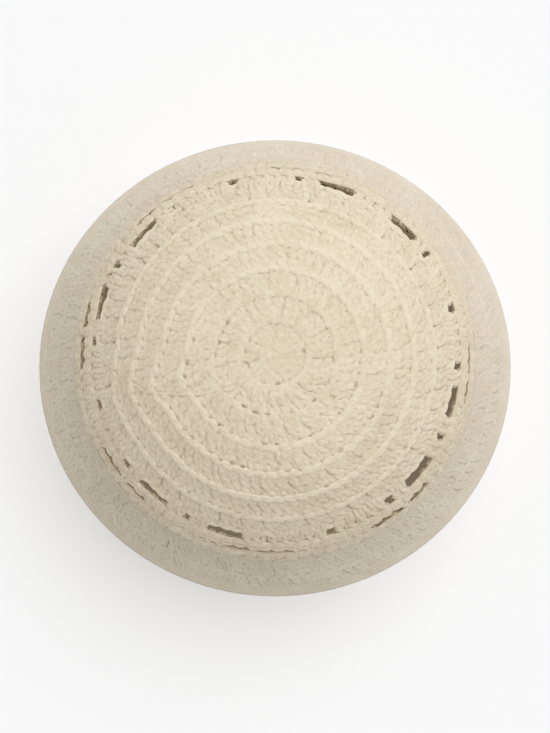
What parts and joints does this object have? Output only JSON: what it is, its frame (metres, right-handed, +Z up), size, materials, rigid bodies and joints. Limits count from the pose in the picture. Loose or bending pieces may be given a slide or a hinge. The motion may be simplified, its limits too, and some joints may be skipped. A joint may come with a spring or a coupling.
{
  "type": "crochet bucket hat",
  "caption": "Crochet bucket hat with a domed crown worked in rounds, an openwork lace band and a flared brim. It rests on its rim and is open below for the head.",
  "frame": {"origin": "middle of the rim, on the surface that the hat rests on", "axes": "+Z up through the crown's centre, +X along the rim's longer axis, which is the picture's width, and +Y towards the picture's upper edge"},
  "size_m": [0.2484, 0.2404, 0.1222],
  "materials": {
    "cotton_yarn": "matte cream cotton yarn, crocheted"
  },
  "bodies": {
    "root": {"crown": "cotton_yarn", "lace_band": "cotton_yarn", "brim": "cotton_yarn"}
  },
  "joints": []
}
